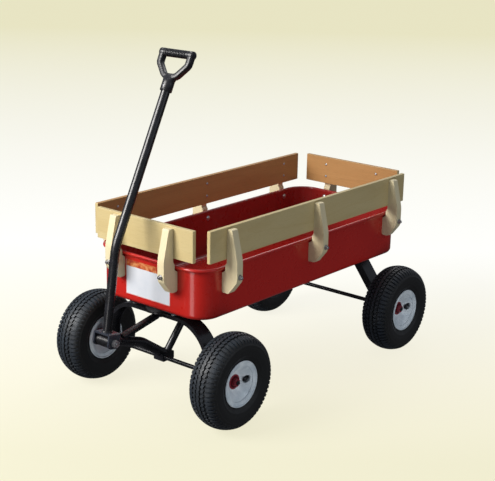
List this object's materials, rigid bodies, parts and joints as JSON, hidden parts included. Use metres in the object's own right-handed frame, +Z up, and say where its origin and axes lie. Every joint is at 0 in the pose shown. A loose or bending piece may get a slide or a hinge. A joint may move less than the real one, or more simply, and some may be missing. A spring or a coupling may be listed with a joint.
{
  "type": "garden cart",
  "caption": "Pull cart with a red pressed-steel tray, timber stake sides, arched axle supports, a steering front truck, pneumatic wheels and a fold-down handle with a D-grip.",
  "frame": {"origin": "on the ground, under the centre of the cart's overall length and width, with the handle folded up", "axes": "+X across the cart, +Y towards the rear (the handle is at -Y), +Z up"},
  "size_m": [0.5882, 1.1355, 0.95],
  "materials": {
    "red_paint": "gloss, baked enamel",
    "black_powder_coat": "satin powder coat",
    "pine_board": "clear satin varnish",
    "pine_stake": "clear satin varnish",
    "rim_silver": "satin silver paint",
    "hub_red": "gloss",
    "tyre_rubber": "matt moulded rubber",
    "tube_rubber": "matt",
    "zinc_fasteners": "dull zinc plate",
    "bearing_steel": "ground",
    "grip_plastic": "fine texture",
    "nylon": "black, smooth",
    "label_paper": "satin laminated"
  },
  "bodies": {
    "body": {"tray_pan": "red_paint", "board_right": "pine_board", "board_left": "pine_board", "board_front": "pine_board", "board_rear": "pine_board", "stake_right_front": "pine_stake", "stake_right_mid": "pine_stake", "stake_right_rear": "pine_stake", "stake_left_front": "pine_stake", "stake_left_mid": "pine_stake", "stake_left_rear": "pine_stake", "stake_front_left": "pine_stake", "stake_front_right": "pine_stake", "stake_rear_left": "pine_stake", "stake_rear_right": "pine_stake", "stake_bolts": "zinc_fasteners", "board_screws": "zinc_fasteners", "front_label": "label_paper", "tray_floor_bolts": "zinc_fasteners", "turntable_upper_plate": "black_powder_coat", "kingpin": "zinc_fasteners", "rear_arch": "black_powder_coat", "rear_mounting_pad": "black_powder_coat", "rear_axle": "black_powder_coat", "rear_axle_nuts": "zinc_fasteners"},
    "front_truck": {"front_arch": "black_powder_coat", "front_axle": "black_powder_coat", "front_axle_nuts": "zinc_fasteners", "turntable_lower_plate": "black_powder_coat", "turntable_washer": "nylon", "tongue": "black_powder_coat", "upper_strut": "black_powder_coat", "rear_brace": "black_powder_coat", "axle_bracket": "black_powder_coat", "axle_bracket_bolts": "zinc_fasteners"},
    "handle": {"handle_fork": "black_powder_coat", "handle_tube": "black_powder_coat", "handle_grip": "grip_plastic", "grip_screw": "zinc_fasteners", "handle_pivot_bolt": "zinc_fasteners"},
    "wheel_front_right": {"tyre_front_right": "tyre_rubber", "inner_tube_front_right": "tube_rubber", "rim_front_right": "rim_silver", "hub_front_right": "hub_red", "bearings_front_right": "bearing_steel"},
    "wheel_front_left": {"tyre_front_left": "tyre_rubber", "inner_tube_front_left": "tube_rubber", "rim_front_left": "rim_silver", "hub_front_left": "hub_red", "bearings_front_left": "bearing_steel"},
    "wheel_rear_right": {"tyre_rear_right": "tyre_rubber", "inner_tube_rear_right": "tube_rubber", "rim_rear_right": "rim_silver", "hub_rear_right": "hub_red", "bearings_rear_right": "bearing_steel"},
    "wheel_rear_left": {"tyre_rear_left": "tyre_rubber", "inner_tube_rear_left": "tube_rubber", "rim_rear_left": "rim_silver", "hub_rear_left": "hub_red", "bearings_rear_left": "bearing_steel"}
  },
  "joints": [
    {"name": "steer", "type": "hinge", "parent": "body", "child": "front_truck", "pos_m": [0, -0.347, 0.27], "axis": [0, 0, 1], "range_deg": [-45, 45]},
    {"name": "handle_fold", "type": "hinge", "parent": "front_truck", "child": "handle", "pos_m": [0, -0.5475, 0.23], "axis": [1, 0, 0], "range_deg": [0, 125]},
    {"name": "spin_front_right", "type": "hinge", "parent": "front_truck", "child": "wheel_front_right", "pos_m": [0.25, -0.347, 0.129], "axis": [1, 0, 0], "continuous": true},
    {"name": "spin_front_left", "type": "hinge", "parent": "front_truck", "child": "wheel_front_left", "pos_m": [-0.25, -0.347, 0.129], "axis": [1, 0, 0], "continuous": true},
    {"name": "spin_rear_right", "type": "hinge", "parent": "body", "child": "wheel_rear_right", "pos_m": [0.25, 0.417, 0.129], "axis": [1, 0, 0], "continuous": true},
    {"name": "spin_rear_left", "type": "hinge", "parent": "body", "child": "wheel_rear_left", "pos_m": [-0.25, 0.417, 0.129], "axis": [1, 0, 0], "continuous": true}
  ]
}
